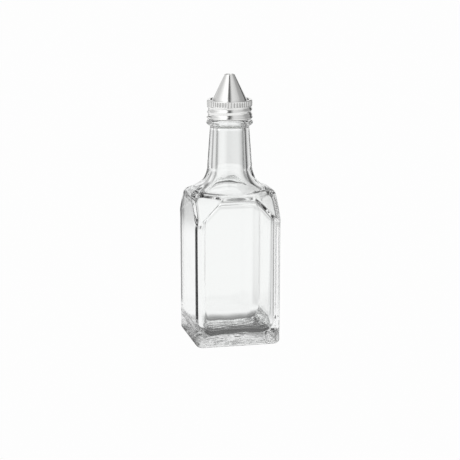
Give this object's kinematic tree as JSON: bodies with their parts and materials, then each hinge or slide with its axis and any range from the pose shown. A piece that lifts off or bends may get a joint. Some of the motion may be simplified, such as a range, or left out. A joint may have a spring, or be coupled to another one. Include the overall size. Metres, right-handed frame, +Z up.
{
  "type": "glass oil bottle",
  "caption": "Square glass cruet for oil or vinegar with a round neck, slanted shoulder corners and a screw-on steel cone pourer.",
  "frame": {"origin": "centre of the resting face, on the axis of the neck", "axes": "+Z up along the neck; +X and +Y square to two of the four flat sides, and the fourfold body looks the same along each"},
  "size_m": [0.05, 0.05, 0.1546],
  "materials": {
    "clear_glass": "clear, fire-polished, thick walls",
    "cone_steel": "satin, spun",
    "band_steel": "satin, knurled",
    "seal": "soft, off-white"
  },
  "bodies": {
    "bottle": {"glass_bottle": "clear_glass"},
    "spout": {"pour_cone": "cone_steel", "sealing_washer": "seal"},
    "band": {"screw_band": "band_steel"}
  },
  "joints": [
    {"name": "cap_rise", "type": "slide", "parent": "bottle", "child": "spout", "axis": [0, 0, 1], "range_m": [0, 0.0096]},
    {"name": "cap_turn", "type": "hinge", "parent": "spout", "child": "band", "pos_m": [0, 0, 0.13], "axis": [0, 0, 1], "range_deg": [0, 1080]}
  ],
  "couplings": [
    {"joint": "cap_rise", "follows": "cap_turn", "m_per_rad": 0.00050532}
  ]
}
